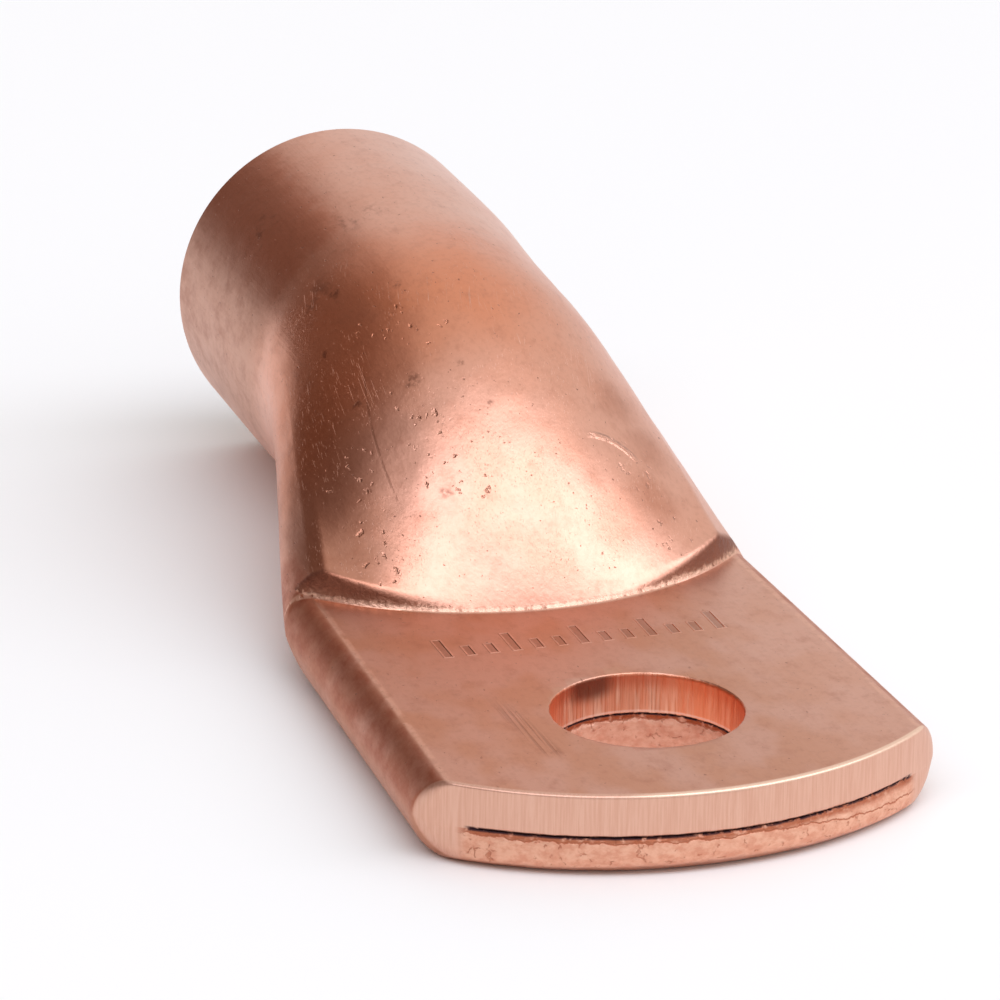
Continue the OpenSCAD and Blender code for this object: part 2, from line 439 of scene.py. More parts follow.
face = pressed[rim]
relief = torn_relief(face[:, 1], face[:, 2])
face[:, 0] = end_curve(face[:, 1]) + rounding(np.maximum(roll[rim], 0.05), reach[rim]) + relief
pressed[rim] = face
lip = reach[mouth]
pressed[mouth, 0] = MOUTH_X - rounding(MOUTH_BREAK, np.minimum(lip, WALL - lip))
move_points(lug, pressed)
only(lug)
bpy.ops.object.mode_set(mode="EDIT")
bpy.ops.mesh.select_all(action="SELECT")
bpy.ops.mesh.normals_make_consistent(inside=False)
bpy.ops.object.mode_set(mode="OBJECT")
print("end face relief up to", round(float(relief.max()), 2), "mm")

# %% [markdown]
# ## The lip and the dome
# Copper doesn't fold to a knife edge. The crease in front of the dome has a small radius that
# catches a thin line of light. A bevel would need one clean row of edges there, so the points
# near the lip are smoothed along the sheet instead. The dome isn't perfectly even either: it
# has shallow waves that a hand hardly feels, but that bend its reflections.

# %% Waves on the dome
WAVE, WAVE_SIZE = 0.045, 4.5

outside = depth < 0.001
above = outside & (side > 0) & (along > PALM_SHARE + 0.02)
places = points_of(lug)
waves = np.zeros(len(places))
waves[above] = [WAVE * (noise.fractal(Vector(p) / WAVE_SIZE, 0.5, 2.0, 2) + 0.6)
                for p in places[above]]
waves *= np.clip((along - PALM_SHARE - 0.02) / 0.04, 0, 1) * np.clip((0.95 - along) / 0.08, 0, 1)
waves *= np.clip((places[:, 2] - 6.5) / 3, 0, 1)
outward = np.empty(3 * len(places))
lug.data.vertex_normals.foreach_get("vector", outward)
move_points(lug, places - outward.reshape(-1, 3) * np.maximum(waves, 0)[:, None])
print("waves up to", round(float(waves.max()), 3), "mm")

# %% Soften the lip
near_lip = outside & (side > 0) & (np.abs(along - PALM_SHARE) < 0.03)
only(lug)
lug.data.vertices.foreach_set("select", near_lip)
lug.data.edges.foreach_set("select", np.zeros(len(lug.data.edges), bool))
lug.data.polygons.foreach_set("select", np.zeros(len(lug.data.polygons), bool))
bpy.ops.object.mode_set(mode="EDIT")
bpy.ops.mesh.select_mode(type="VERT")
bpy.ops.mesh.vertices_smooth(factor=0.5, repeat=1)
bpy.ops.object.mode_set(mode="OBJECT")
print("softened", int(near_lip.sum()), "points at the lip")

# %% [markdown]
# ## The bolt hole
# The hole is punched through both walls. The upper wall is cut clean, with fine marks down it,
# and the lower one breaks away rough. A plain round cut would leave a wall like glass, so the
# cylinder that cuts it has close rows of points and is given that relief first. A Boolean then
# takes it out of the palm, which also opens the seam in the wall of the hole.

# %% The punch
HOLE_R, PUNCH_H = 6.5, 6.4
PUNCH_COLUMNS, PUNCH_CUTS = 300, 41

bpy.ops.object.select_all(action="DESELECT")
bpy.ops.mesh.primitive_cylinder_add(vertices=PUNCH_COLUMNS, radius=HOLE_R, depth=PUNCH_H,
                                    location=(0, 0, PALM_T / 2))
punch = bpy.context.object
punch.name = "punch"
bpy.ops.object.transform_apply(location=True, rotation=True, scale=True)
bpy.ops.object.mode_set(mode="EDIT")
shape = bmesh.from_edit_mesh(punch.data)
for edge in shape.edges:
    edge.select = abs(edge.verts[0].co.z - edge.verts[1].co.z) > 1
bmesh.update_edit_mesh(punch.data)
bpy.ops.mesh.subdivide(number_cuts=PUNCH_CUTS)
bpy.ops.object.mode_set(mode="OBJECT")
print("punch:", len(punch.data.vertices), "points")

# %% Relief of the punch
places = points_of(punch)
turn, punch_z = np.arctan2(places[:, 1], places[:, 0]), places[:, 2]


def ring_noise(size, seed, tall=1.0):
    """Seeded noise round the punch, drawn out upwards where tall is large."""
    return np.array([noise.fractal(
        Vector((HOLE_R * math.cos(a) / size, HOLE_R * math.sin(a) / size, seed + h / size / tall)),
        0.6, 2.0, 3) for a, h in zip(turn, punch_z)])


UPRIGHT = 1e6  # so tall that the noise doesn't change upwards
seam_at = SEAM_Z + 0.06 * ring_noise(3.0, 1.5, UPRIGHT)
grow = 0.10 * np.clip((punch_z - PALM_T + 0.14) / 0.14, 0, 2) ** 2
grow += 0.12 * peak(punch_z - seam_at, 0.08)
grow += 0.03 * ring_noise(0.35, 3.5, 12.0) * (punch_z > seam_at)
below = np.clip((seam_at - punch_z) / 0.1, 0, 1)
band = np.clip((punch_z - 2.25 - 0.22 * ring_noise(1.3, 5.5, UPRIGHT)) / 0.1, 0, 1)
grow += below * (0.12 * band + 0.07 * ring_noise(0.9, 6.5) - 0.02)
grow += 0.25 * np.clip((0.25 - punch_z) / 0.25, 0, 1) ** 2
places[:, 0] = (HOLE_R + grow) * np.cos(turn)
places[:, 1] = (HOLE_R + grow) * np.sin(turn)
move_points(punch, places)
print("the punch grows by up to", round(float(grow.max()), 2), "mm")

# %% Punch the bolt hole
only(lug)
boolean = lug.modifiers.new("bolt_hole", "BOOLEAN")
boolean.operation, boolean.solver, boolean.object = "DIFFERENCE", "EXACT", punch
bpy.ops.object.modifier_apply(modifier=boolean.name)
bpy.data.objects.remove(punch)
triangles = sum(len(polygon.vertices) - 2 for polygon in lug.data.polygons)
print("lug:", len(lug.data.vertices), "points,", triangles, "triangles")

# %% Bring the lug to its real size and name its finish
MM = 0.001
CREASE = math.radians(38)

only(lug)
lug.scale = (MM, MM, MM)
bpy.ops.object.transform_apply(location=True, rotation=True, scale=True)
bpy.ops.object.shade_smooth_by_angle(angle=CREASE)
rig.ride(lug, "root")
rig.replaces(lug, "cable_lug")
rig.slot(lug, "copper")
print("lug's size", [round(v / MM, 2) for v in lug.dimensions], "mm")

# %% [markdown]
# ## Writing materials as sums
# A copper surface is many small things added up. Its nodes could be placed one by one, but
# they are easier to read as a formula. One small class wraps a socket, so that ordinary signs
# add the Math nodes, and one method adds every other node.

# %% A wrapper for sockets
class Wire:
    """The output of a node, which Python's signs work on."""

    def __init__(self, finish, socket):
        self.finish, self.socket = finish, socket

    def maths(self, operation, *others, clamp=False):
        settings = {"operation": operation, "use_clamp": clamp}
        return self.finish.add("ShaderNodeMath", settings, dict(enumerate((self, *others))))

    def __add__(self, other): return self.maths("ADD", other)
    def __radd__(self, other): return self.maths("ADD", other)
    def __mul__(self, other): return self.maths("MULTIPLY", other)
    def __rmul__(self, other): return self.maths("MULTIPLY", other)
    def __sub__(self, other): return self.maths("SUBTRACT", other)
    def __rsub__(self, other): return (self * -1).maths("ADD", other)
    def __truediv__(self, other): return self.maths("DIVIDE", other)
    def __pow__(self, other): return self.maths("POWER", other)
    def __abs__(self): return self.maths("ABSOLUTE")

    def ramp(self, low, high):
        """0 below low, 1 above high, and smooth between; low may be the larger."""
        settings = {"interpolation_type": "SMOOTHSTEP", "clamp": True}
        return self.finish.add("ShaderNodeMapRange", settings,
                               {"Value": self, "From Min": low, "From Max": high})

    def line(self, half, fade):
        """1 where the value is nearly 0, falling to 0 at half a width away."""
        return abs(self).ramp(half, fade)


print("signs on wires add Math nodes")

# %% A material and its nodes
class Finish:
    """A material, and the one method that adds nodes to it."""

    def __init__(self, name):
        self.material = bpy.data.materials.new(name)
        self.material.use_nodes = True
        self.tree = self.material.node_tree
        self.surface = self.tree.nodes["Principled BSDF"]

    def add(self, kind, settings=None, sockets=None, out=0):
        node = self.tree.nodes.new(kind)
        for name, value in (settings or {}).items():
            setattr(node, name, value)
        for name, value in (sockets or {}).items():
            self.plug(node.inputs[name], value)
        return Wire(self, node.outputs[out])

    def plug(self, socket, value):
        if isinstance(value, Wire):
            self.tree.links.new(value.socket, socket)
        else:
            socket.default_value = value

    def blend(self, factor, one, two):
        """Mixes two colours."""
        return self.add("ShaderNodeMix", {"data_type": "RGBA"}, {0: factor, 6: one, 7: two}, out=2)

    def grain(self, place, stretch, detail=3.0, roughness=0.55, shift=(0, 0, 0), turn=None):
        """Noise whose features are as long as stretch says along each axis, once turned."""
        if turn:
            place = self.add("ShaderNodeMapping", {}, {"Vector": place, "Rotation": turn})
        scale = tuple(1 / length for length in stretch)
        fitted = self.add("ShaderNodeMapping", {},
                          {"Vector": place, "Location": shift, "Scale": scale})
        return self.add("ShaderNodeTexNoise", {}, {"Vector": fitted, "Scale": 1.0,
                                                   "Detail": detail, "Roughness": roughness})


def tone(red, green, blue):
    """A colour from the usual 0 to 255 numbers."""
    return tuple((v / 255 / 12.92 if v <= 10 else ((v / 255 + 0.055) / 1.055) ** 2.4)
                 for v in (red, green, blue)) + (1.0,)


print("materials can be written now")

# %% [markdown]
# ## Bare copper
# The lug is bare soft copper. Drawing the tube left fine lines along it, the press left a
# satin palm, and handling has left pits, short scratches and darker specks. One colour with
# one noise would make it look like plastic. The finish starts from a salmon copper and mixes
# in each of those marks by its place, so that each region gets its own.

# %% The copper's places, in millimetres
copper = Finish("bare_copper")
metres = copper.add("ShaderNodeTexCoord", out=3)
place = copper.add("ShaderNodeVectorMath", {"operation": "SCALE"}, {0: metres, "Scale": 1 / MM})
x = copper.add("ShaderNodeSeparateXYZ", {}, {0: place})
y, z = (Wire(copper, x.socket.node.outputs[i]) for i in (1, 2))
wide = abs(y)
wobble = copper.add("ShaderNodeTexNoise", {}, {"Vector": place, "Scale": 1.6, "Detail": 3.0},
                    out=1)
BEND = 1.1  # the outlines of marks are bent by up to half of this
bent = copper.add("ShaderNodeVectorMath", {"operation": "MULTIPLY_ADD"},
                  {0: wobble, 1: (BEND, BEND, BEND), 2: place})
BENT = Vector((BEND / 2, BEND / 2, BEND / 2))
print("places are measured in millimetres")

# %% Ways to pick out a place
def blob(centre, radius, ragged=False):
    """1 near a place on the lug, fading to 0 at the radius; a ragged one has an uneven edge."""
    where, centre = (bent, Vector(centre) + BENT) if ragged else (place, Vector(centre))
    away = copper.add("ShaderNodeVectorMath", {"operation": "DISTANCE"},
                      {0: where, 1: centre}, out=1)
    return away.ramp(radius, radius * (0.1 if ragged else 0.4))


def either(*masks):
    """The strongest of some masks."""
    most = masks[0]
    for mask in masks[1:]:
        most = most.maths("MAXIMUM", mask)
    return most


def blobs(*spots, ragged=False):
    """The strongest of some blobs, each a place and a radius."""
    return either(*(blob(at, radius, ragged) for at, radius in spots))


def past_arc(radius):
    """How far a circle's edge falls back from its tangent, at each width."""
    return radius - (radius**2 - y * y).maths("MAXIMUM", 1.0) ** 0.5


print("a blob is a soft ball of influence round a place")

# %% The regions of the lug
in_hole = ((x * x + y * y) ** 0.5).ramp(6.95, 6.75) * z.ramp(5.78, 5.70)
past_end = x + PALM_END - past_arc(END_R)
past_lip = x - LIP_X - past_arc(LIP_R)
in_end = past_end.ramp(0.5, 0.25)
cut = either(in_end, in_hole)
on_palm = past_lip.ramp(0.2, -0.3) * (1 - cut)
from_side = PALM_W / 2 - PALM_TAPER * x - wide
barrel = x.ramp(50, 56)
mottle = copper.grain(place, (7, 5, 5), 2)
cloud = copper.grain(place, (2.0, 1.5, 1.5), 4, 0.65)
fine_cloud = copper.grain(place, (0.5, 0.4, 0.4), 3, 0.6, shift=(4, 4, 9))
print("regions: hole, end, cut faces, palm, sides and barrel")

# %% [markdown]
# ## Colour by region
# Handling and the press have toned the copper in patches. The barrel has a brown patch on its
# shoulder, the throat has an orange tinge where it was worked, and the cut faces are the
# palest, because they are the freshest. Some patches are painted light: painted shade greys and
# darkens the barrel's lower +Y side and darkens a band down the dome's +Y side, the folded sides
# and the small steps at the ends of the lip, and painted highlights pale the fold's ridge and the
# foot of the lip. Such patches could be painted on an image. Here each is a mask times a tone,
# so that it stays with its place on the lug.

# %% The copper's tones
SALMON, DEEP_SALMON = tone(231, 172, 148), tone(228, 165, 139)
PALM_PINK, PALM_TAN, PALM_PALE = tone(215, 160, 138), tone(209, 148, 119), tone(230, 176, 154)
THROAT_ORANGE, SHOULDER_BROWN = tone(230, 149, 113), tone(204, 122, 88)
BARREL_PALE, FLANK_SHADE_GREY, FLANK_SHADE_TAN = tone(238, 192, 174), tone(201, 154, 132), tone(183, 134, 112)
SHADE_AND_GRIME_BROWN, SMUDGE, DUST, DIRT = (tone(160, 96, 66), tone(176, 110, 84), tone(150, 92, 70),
                             tone(104, 58, 42))
FOLD_SHADE_TAN, FOLD_SHADE_BROWN, RIDGE_HIGHLIGHT = tone(202, 144, 118), tone(184, 108, 80), tone(240, 186, 160)
LEAF_SHADE, LEAF_DEEP_SHADE, LEAF_FOOT_HIGHLIGHT = tone(140, 92, 72), tone(122, 68, 50), tone(236, 184, 158)
FOOT_HIGHLIGHT, SCRATCH_SHINE = tone(246, 198, 172), tone(250, 206, 184)
END_PINK, END_PALE, END_EDGE_HIGHLIGHT = tone(221, 170, 147), tone(231, 184, 162), tone(255, 222, 196)
TORN_PINK, TORN_PALE = tone(226, 162, 134), tone(241, 188, 160)
HOLE_TAN, HOLE_PALE, HOLE_ORANGE = tone(214, 140, 108), tone(250, 204, 176), tone(236, 150, 112)
HOLE_RED, HOLE_BROWN, HOLE_SIDE_HIGHLIGHT = tone(214, 112, 76), tone(128, 78, 62), tone(255, 158, 112)
BRUISE, SEAM_BLACK, SEAM_LIP_HIGHLIGHT = tone(176, 88, 48), tone(70, 42, 48), tone(255, 214, 196)
STAMP_BROWN, BURR_HIGHLIGHT = tone(130, 72, 52), tone(240, 190, 168)
print("salmon copper, as the renderer counts it:", [round(v, 3) for v in SALMON])

# %% Barrel, throat and palm
palm_tone = copper.blend(mottle.ramp(0.4, 0.62), PALM_PINK, PALM_TAN)
tinge = x.ramp(31, 38) * x.ramp(56, 44) * y.ramp(-9, 0)
shoulder = (barrel * y.ramp(2.5, 7.5) * z.ramp(15, 19) * (0.25 + 1.4 * cloud)).ramp(0.25, 0.85)
# Painted shade: the lower +Y side of the barrel is greyed and darkened, standing in for the floor's shadow that it
# mirrors.
shaded_flank = barrel * y.ramp(9.5, 12) * z.ramp(22, 19)
shaded_flank_tone = copper.blend(cloud.ramp(0.38, 0.66), FLANK_SHADE_GREY, FLANK_SHADE_TAN)

colour = copper.blend(mottle.ramp(0.35, 0.7), SALMON, DEEP_SALMON)
colour = copper.blend(on_palm, colour, palm_tone)
colour = copper.blend(tinge * (0.5 + 0.8 * mottle), colour, THROAT_ORANGE)
colour = copper.blend(barrel * y.ramp(3, -6) * 0.6, colour, BARREL_PALE)
colour = copper.blend(on_palm * y.ramp(-5, -15) * 0.5, colour, PALM_PALE)
colour = copper.blend(shoulder * 0.6, colour, SHOULDER_BROWN)
colour = copper.blend(shaded_flank * 0.75, colour, shaded_flank_tone)
print("large patches:", len(copper.tree.nodes), "nodes so far")

# %% Painted shade on the dome's side and the folds, grime, and a painted highlight on the ridge
# Painted shade: a dark band down the dome's +Y side, deepening the dark sky that it mirrors. The grime blobs on the -Y
# side are dirt, and both take one brown.
dome_side_shade = y.ramp(9.0, 12.5) * x.ramp(20, 24) * x.ramp(50, 36) * z.ramp(5.5, 8)
grime = blobs(((33.1, -8.8, 15.4), 3.6), ((30.6, -10.4, 12.6), 3.4), ((26.1, -9.5, 10.5), 3.4),
              ragged=True)
# Painted shade: the folded sides are darkened, browner on their upper, curving half.
fold = from_side.ramp(2.0, 1.5) * past_lip.ramp(7, 3) * (1 - cut)
fold_shade_tone = copper.blend(z.ramp(2.4, 3.6), FOLD_SHADE_TAN, FOLD_SHADE_BROWN)
# Painted highlight: a pale line along the ridge where the palm's top turns into the fold.
ridge_highlight = (from_side - 2.0).line(0.32, 0.1) * z.ramp(5.2, 5.5) * on_palm * cloud.ramp(0.4, 0.55)

shade_and_grime = either(dome_side_shade * (0.3 + 0.4 * cloud), grime * (0.1 + 0.6 * cloud))
colour = copper.blend(shade_and_grime, colour, SHADE_AND_GRIME_BROWN)
colour = copper.blend(fold * cloud.ramp(0.1, 0.75), colour, fold_shade_tone)
colour = copper.blend(ridge_highlight * 0.6, colour, RIDGE_HIGHLIGHT)
print("grime:", len(copper.tree.nodes), "nodes so far")

# %% The small steps and the foot of the lip
out = wide + EARLIER * y.ramp(1, -1)
leaf = ((out - LEAF_FROM).maths("DIVIDE", LEAF_RUN, clamp=True) ** LEAF_GROWTH
        * (LEAF_TO - out).maths("DIVIDE", LEAF_TAPER, clamp=True))
up_step = z - PALM_T
# Painted shade: the steep steps at the ends of the lip are darkened, most towards their tops, with a grainy painted
# highlight low on them.
shaded_facet = ((up_step - LEAF * STEP * leaf).ramp(0.5, 0.0) * z.ramp(5.86, 5.95)
         * past_lip.ramp(1.2, 0.8) * past_lip.ramp(-0.2, 0.0))
facet_shade_tone = copper.blend(up_step.ramp(0.25, 1.0), LEAF_SHADE, LEAF_DEEP_SHADE)
facet_shade_tone = copper.blend(fine_cloud.ramp(0.5, 0.62) * up_step.ramp(0.7, 0.15), facet_shade_tone,
                          LEAF_FOOT_HIGHLIGHT)
# Painted highlight: a pale, grainy band along the foot of the lip.
foot_highlight = (past_lip.ramp(-0.12, 0.0) * past_lip.ramp(0.3, 0.1) * z.ramp(6.3, 5.95)
        * fine_cloud.ramp(0.3, 0.5))

colour = copper.blend(shaded_facet * 0.9, colour, facet_shade_tone)
colour = copper.blend(foot_highlight * 0.7, colour, FOOT_HIGHLIGHT)
colour = copper.blend(cloud.ramp(0.5, 0.8) * (0.3 + 0.1 * on_palm), colour, SMUDGE)
colour = copper.blend(fine_cloud.ramp(0.45, 0.75) * 0.14, colour, DUST)
print("patches:", len(copper.tree.nodes), "nodes so far")

# %% [markdown]
# ## The cut faces
# The punch and the trimming die leave upright streaks on the sheared copper. The seam between
# the two walls is a dark line, and below it the copper has torn, with an orange bruise along
# the tear and a finer grit underneath. The real relief is already in the mesh, so the finish
# adds what is too fine for it. Torn copper is so rough that it hardly mirrors, and it is given
# less of a metal's look.

# %% Streaks of the sheared copper
streaks = copper.grain(place, (0.15, 0.15, 3.5), 3, 0.6, shift=(7, 5, 0))
wide_streaks = copper.grain(place, (0.8, 0.8, 7), 2, shift=(1, 9, 2))
end_tone = copper.blend(streaks.ramp(0.3, 0.7), END_PINK, END_PALE)
hole_tone = copper.blend(streaks.ramp(0.3, 0.6), HOLE_TAN, HOLE_PALE)
hole_tone = copper.blend(wide_streaks.ramp(0.42, 0.62) * 0.6, hole_tone, HOLE_ORANGE)
hole_tone = copper.blend(z.ramp(4.2, 5.4) * 0.65, hole_tone, HOLE_RED)
# A dark brown patch high on the far wall of the bolt hole.
dark_patch = blob((6.2, 1.9, 5.4), 2.4) * z.ramp(3.6, 4.8)
hole_tone = copper.blend(dark_patch * 0.85, hole_tone, HOLE_BROWN)
# Painted highlight: the bolt hole's wall is brightened to a glowing orange towards both of its sides.
hole_side_highlight = either(y.ramp(-2.0, -5.5) * 0.6, y.ramp(4.0, 5.6) * 0.8)
hole_tone = copper.blend(hole_side_highlight, hole_tone, HOLE_SIDE_HIGHLIGHT)
cut_tone = copper.blend(in_hole, end_tone, hole_tone)
print("streaks:", len(copper.tree.nodes), "nodes so far")

# %% Torn copper below the seam
jagged = copper.grain(place, (1.1, 1.1, 4), 3, 0.65, shift=(2, 8, 3))
blotch = copper.grain(place, (0.6, 0.6, 0.5), 2, shift=(9, 2, 2))
crumb = copper.grain(place, (0.9, 0.9, 0.6), 4, 0.65, shift=(5, 1, 7))
under = SEAM_Z - z
past_tear = under - (0.38 + 0.8 * (jagged - 0.5) + in_end * y.ramp(-3, -14) * 0.85)
bruise = (under.ramp(-0.02, 0.06) * under.ramp(0.75, 0.25) * past_tear.ramp(0.06, -0.04)
          * blotch.ramp(0.2, 0.5))
tear = past_tear.line(0.09, 0.02)
split = copper.add("ShaderNodeTexVoronoi", {"feature": "DISTANCE_TO_EDGE"},
                   {"Vector": bent, "Scale": 0.55})
split = split.ramp(0.045, 0.012) * blotch.ramp(0.5, 0.6)
bruised = either(bruise * (0.8 + 0.2 * in_hole), tear * 0.75, split * 0.5)
torn_tone = copper.blend(crumb.ramp(0.35, 0.65), TORN_PINK, TORN_PALE)
torn_tone = copper.blend(bruised, torn_tone, BRUISE)
below_seam = under.ramp(-0.02, 0.05) * cut * wide.ramp(16.2, 15.3)
cut_tone = copper.blend(below_seam, cut_tone, torn_tone)
print("torn copper:", len(copper.tree.nodes), "nodes so far")

# %% The seam and the edge of the end
# Painted highlight: a thin pale line on the lip just above the seam, round the bolt hole.
seam_lip_highlight = (under + 0.24).line(0.12, 0.03) * in_hole
speckled = 1 - fine_cloud.ramp(0.5, 0.6) * y.ramp(4, -3) * 0.8
seam_line = (speckled * under.line(0.22 - 0.06 * in_hole, 0.08) * wide.ramp(15.7, 15.2)
             * blotch.ramp(0.28, 0.45) * cut)
# Painted highlight: a pale line along the top edge of the end face, fading out towards +Y.
end_edge_highlight = past_end.ramp(0.42, 0.25) * z.ramp(5.55, 5.68) * 0.7

cut_tone = copper.blend(seam_lip_highlight * 0.6, cut_tone, SEAM_LIP_HIGHLIGHT)
cut_tone = copper.blend(seam_line, cut_tone, SEAM_BLACK)
colour = copper.blend(cut, colour, cut_tone)
colour = copper.blend(end_edge_highlight * y.ramp(7, 3), colour, END_EDGE_HIGHLIGHT)
print("cut faces:", len(copper.tree.nodes), "nodes so far")

# %% [markdown]
# ## Pits, ticks and scratches
# The dome took most of the knocks. They lie in clusters, so a few places on the lug are named
# and the small marks are let through only near them. Each is a tiny dent whose slopes catch the
# light, and that comes from the bump and not from painted highlights. The pattern's places are
# bent with noise first, so no two dents have the same outline.

# %% Ticks, specks and spots
clusters = blobs(
    ((39.8, 6.7, 20.7), 2.6), ((36.6, 4.1, 20.9), 2.6), ((32.4, 6.5, 17.1), 3.2),
    ((29.8, 6.1, 15.6), 2.4), ((26.3, 5.0, 13.2), 3.0), ((26.9, 11.1, 9.9), 2.2),
    ((24.2, 11.3, 7.9), 1.8), ((31.5, 11.5, 12.4), 3.0), ((28.0, -8.8, 12.3), 2.6),
    ((24.5, -10.8, 8.5), 2.6))
cells = copper.add("ShaderNodeMapping", {}, {"Vector": bent, "Scale": (1.0, 1.9, 1.5),
                                             "Rotation": (0.2, 0.4, 0.7)})
tick_cells = copper.add("ShaderNodeTexVoronoi", {}, {"Vector": cells, "Scale": 1.0})
chance = copper.add("ShaderNodeSeparateXYZ", {},
                    {0: Wire(copper, tick_cells.socket.node.outputs[1])})
ticks = ((tick_cells + 0.25 * chance).ramp(0.50, 0.24) * chance.ramp(0.52, 0.56)
         * clusters.ramp(0.1, 0.5))
speck_grain = copper.grain(place, (0.42, 0.3, 0.3), 2, 0.5, shift=(3, 8, 1))
specks = speck_grain.ramp(0.70, 0.76) * (1 - cut)
spots = blobs(
    ((33.9, 6.1, 18.4), 0.8), ((26.2, 6.0, 12.6), 0.7), ((35.7, 9.7, 16.3), 0.5),
    ((41.8, 10.3, 18.0), 0.5), ((33.2, 2.7, 19.5), 0.4), ((29.9, 1.4, 17.5), 0.4),
    ((42.4, 4.7, 22.8), 0.6), ((46.4, 8.3, 21.2), 0.7), ((-5.3, 8.2, 5.8), 0.3), ragged=True)
faint = blobs(((55.0, 4.0, 23.5), 3.0), ((63.0, 9.5, 20.5), 3.2), ((48.0, 9.0, 20.0), 2.6),
              ragged=True)
print("small marks:", len(copper.tree.nodes), "nodes so far")

# %% Lines and scratches
def scratches(turn, seed):
    """Long thin scratches that run one way, up the slope of the throat."""
    thin = copper.grain(place, (9, 0.09, 0.09), 2, shift=(seed, 2 * seed, 3 * seed), turn=turn)
    return thin.ramp(0.66, 0.72)


lines = copper.grain(place, (14, 0.16, 0.16), 2)
scratch = either(scratches((0, 0.42, 0), 5), scratches((0, 0.35, 0.22), 8))
scratch = scratch * mottle.ramp(0.42, 0.56) * past_lip.ramp(0.5, 1.5) * (1 - barrel)
bow = y - 9.35 + 0.03 * (x - 32) + 0.02 * (x - 32) * (x - 32)
long_line = (bow.line(0.12, 0.03) * x.ramp(26.5, 28) * x.ramp(38, 36) * z.ramp(8, 9)
             * cloud.ramp(0.38, 0.5))
gouged = (y - 8.9 - 0.097 * x).line(0.9, 0.3) * x.ramp(-6.4, -5) * x.ramp(5.5, 1) * on_palm
gouge = gouged * lines.ramp(0.42, 0.58)
SCAR_CENTRE, SCAR_R = (25.6, -5.4, 11.0), 5.0
from_scar = copper.add("ShaderNodeVectorMath", {"operation": "DISTANCE"},
                       {0: place, 1: SCAR_CENTRE}, out=1)
scar = ((from_scar - SCAR_R).line(0.35, 0.1) * blob((29.0, -7.4, 14.0), 2.8)
        * fine_cloud.ramp(0.32, 0.5))
print("scratches:", len(copper.tree.nodes), "nodes so far")

# %% Colour of the marks
dirt = either(spots * fine_cloud.ramp(0.3, 0.55) * 0.6, specks * (0.55 - 0.2 * on_palm),
              long_line * 0.28, gouge * 0.25, faint * cloud.ramp(0.5, 0.66) * 0.4, ticks * 0.15)
colour = copper.blend(dirt, colour, DIRT)
colour = copper.blend(scratch * 0.35 * (1 - cut), colour, SCRATCH_SHINE)
print("marks:", len(copper.tree.nodes), "nodes so far")

# %% [markdown]
# ## A row of plain graduations
# Lugs are often stamped between the hole and the lip. This one has a row of plain graduation
# strokes there, pressed 0.2 mm deep, every third one longer. They could be cut into the mesh,
# but so shallow a mark is well served by a bump. They are worked out from the distance to each
# stroke, so their edges are crisp at any scale.

# %% Stamped graduations
PITCH, ROW_X, STROKES = 1.65, 12.7, 13
HALF_SHORT, LONGER_BY, EVERY = 0.75, 0.75, 3

count = (y + (STROKES - 1) / 2 * PITCH) / PITCH
off = abs((count + 0.5).maths("FRACT") - 0.5) * PITCH
longer = abs((count / EVERY + 0.5).maths("FRACT") - 0.5).ramp(0.17, 0.16)
half = HALF_SHORT + LONGER_BY * longer
away = off.maths("MAXIMUM", abs(x - ROW_X - half) - half + 0.2)
in_row = count.ramp(-0.5, -0.49) * count.ramp(STROKES - 0.5, STROKES - 0.51) * on_palm
stamp = away.ramp(0.28, 0.20) * in_row
burr = away.ramp(0.42, 0.34) * away.ramp(0.24, 0.30) * in_row
# The strokes are browner inside, and a painted highlight pales the raised burr round them.
colour = copper.blend(stamp * 0.35, colour, STAMP_BROWN)
colour = copper.blend(burr * 0.4, colour, BURR_HIGHLIGHT)
print(STROKES, "strokes,", round((STROKES - 1) * PITCH, 1), "mm from first to last")

# %% [markdown]
# ## Relief and gloss
# The marks are pressed in as well as toned: their heights, in millimetres, are added up and go
# through one Bump node. The gloss follows the same places. A drawn tube is the brightest, the
# pressed palm is satin, and torn or grimy copper is dull.

# %% Heights of the marks
height = (lines - 0.5) * 0.005 + (cloud - 0.5) * 0.02 + (fine_cloud - 0.5) * 0.010
height = height + (mottle - 0.5) * 0.10 * barrel
height = height - ticks * 0.08 - specks * 0.02 - scratch * 0.008
height = height - long_line * 0.006 - gouge * 0.02
height = height + scar * 0.08 + shaded_facet * (fine_cloud - 0.5) * 0.08
height = height * (1 - cut) - stamp * 0.22 + burr * 0.04
streak_depth = cut * (streaks - 0.5) * (0.012 + 0.03 * in_hole)
height = height + streak_depth * under.ramp(0.05, -0.02)
height = height + below_seam * ((crumb - 0.5) * 0.12 - 0.04 * either(tear, split))
relief = copper.add("ShaderNodeBump", {}, {"Strength": 1.0, "Distance": MM, "Height": height})
print("relief:", len(copper.tree.nodes), "nodes so far")

# %% Gloss and the finished copper
gloss = 0.21 + 0.06 * mottle + 0.10 * lines + 0.08 * cloud + 0.10 * fold + 0.06 * on_palm
gloss = gloss + 0.08 * cut + 0.08 * shaded_flank + 0.12 * below_seam + 0.12 * shaded_facet
gloss = gloss + 0.15 * seam_line + 0.1 * grime
copper.plug(copper.surface.inputs["Base Color"], colour)
copper.plug(copper.surface.inputs["Metallic"], 1 - below_seam * (0.25 + 0.35 * in_hole))
copper.plug(copper.surface.inputs["Roughness"], gloss)
copper.plug(copper.surface.inputs["Normal"], relief)
lug.data.materials.clear()
lug.data.materials.append(copper.material)
print("copper has", len(copper.tree.nodes), "nodes")

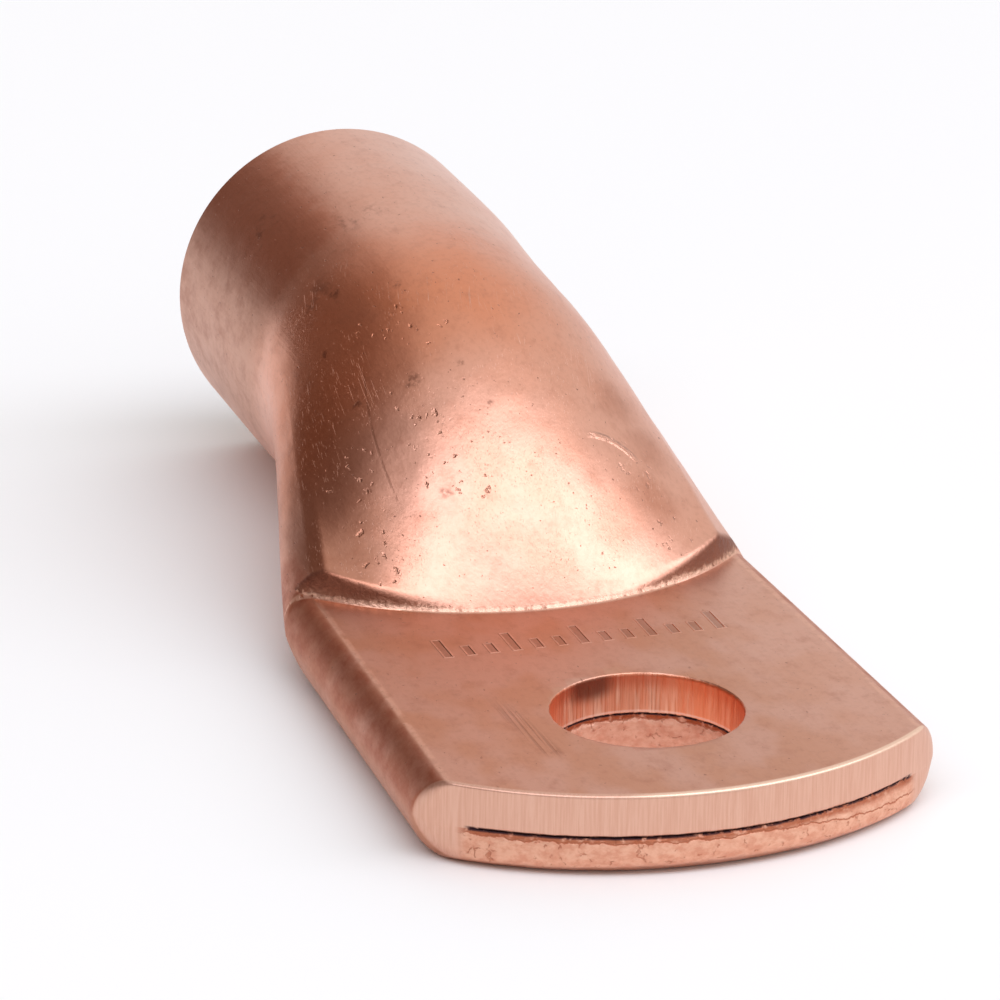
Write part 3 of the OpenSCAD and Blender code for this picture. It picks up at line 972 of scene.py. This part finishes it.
# %% [markdown]
# ## Floor and light
# The lug lies on a plain white floor, which keeps its shadow. Metal shows what is around it,
# so the surroundings matter more than lamp strength. Three or four lamps would each leave a
# spot on it. Here a pale sky has darker patches low down, which give the palm its mid tone and
# the side of the dome its dark band, and one long soft lamp hangs above.

# %% Floor
FLOOR_R, FLOOR_DROP = 3.0, 0.00003

bpy.ops.object.select_all(action="DESELECT")
bpy.ops.mesh.primitive_circle_add(vertices=96, radius=FLOOR_R, fill_type="NGON",
                                  location=(0, 0, -FLOOR_DROP))
floor = bpy.context.object
floor.name = floor.data.name = "floor"
bpy.ops.object.transform_apply(location=True, rotation=True, scale=True)
paper = Finish("white_paper")
paper.plug(paper.surface.inputs["Base Color"], (0.97, 0.96, 0.93, 1))
paper.plug(paper.surface.inputs["Roughness"], 0.9)
paper.plug(paper.surface.inputs["Specular IOR Level"], 0.1)
floor.data.materials.append(paper.material)
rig.stage(floor)
print("floor laid")

# %% Directions in the sky
world = bpy.data.worlds.new("studio")
bpy.context.scene.world = world
world.use_nodes = True


class Sky(Finish):
    """The world's nodes, written in the same way."""

    def __init__(self, world):
        self.tree = world.node_tree
        self.surface = self.tree.nodes["Background"]


def towards(azimuth, elevation):
    """A direction, with azimuth counted from +X to +Y, in degrees."""
    a, e = math.radians(azimuth), math.radians(elevation)
    return Vector((math.cos(a) * math.cos(e), math.sin(a) * math.cos(e), math.sin(e)))


sky = Sky(world)
way = sky.add("ShaderNodeTexCoord", out=0)


def near_way(azimuth, elevation):
    """The cosine of the angle to a direction, all over the sky."""
    return sky.add("ShaderNodeVectorMath", {"operation": "DOT_PRODUCT"},
                   {0: way, 1: towards(azimuth, elevation)}, out=1)


print("the lamp will hang towards", [round(v, 2) for v in towards(195, 64)])

# %% Sky
PALE, WARM_DARK = (1, 1, 1, 1), (1, 0.64, 0.50, 1)
SKY_LEAST, SKY_MORE, DARKEN = 0.62, 0.22, 0.72

dark = either(near_way(45, 8).ramp(0.58, 0.88), near_way(92, 5).ramp(0.58, 0.88),
              near_way(52, 32).ramp(0.83, 0.97))
strength = SKY_LEAST + SKY_MORE * near_way(290, 20).ramp(-0.3, 0.8)
sky.plug(sky.surface.inputs["Color"], sky.blend(dark, PALE, WARM_DARK))
sky.plug(sky.surface.inputs["Strength"], strength * (1 - DARKEN * dark))
print("sky has", len(sky.tree.nodes), "nodes")

# %% Lamp
LAMP_WAY, LAMP_DISTANCE, LAMP_TURN = towards(195, 64), 3.0, math.radians(-17)

lamp = bpy.data.lights.new("strip", "AREA")
lamp.color = (0.95, 1.0, 1.16)
lamp.shape, lamp.size, lamp.size_y, lamp.energy = "RECTANGLE", 9.5, 1.35, 92.0
strip = bpy.data.objects.new("strip", lamp)
aimed = LAMP_WAY.to_track_quat("Z", "Y").to_matrix() @ Matrix.Rotation(LAMP_TURN, 3, "Z")
strip.matrix_world = Matrix.Translation(LAMP_WAY * LAMP_DISTANCE) @ aimed.to_4x4()
bpy.context.scene.collection.objects.link(strip)
print("lamps:", sum(o.type == "LIGHT" for o in bpy.data.objects))

# %% [markdown]
# ## Measure and finish
# The dressed lug has to keep the size of the solid model. That could be trusted to the names
# above, but a measure is surer, so both boxes are written side by side.

# %% Write the sizes and finish
json.dump({"cad": [list(map(float, corner)) for corner in solid_box],
           "visual": [list(map(float, corner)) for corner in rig.bounds()]},
          open("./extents.json", "w"))
print(open("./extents.json").read())
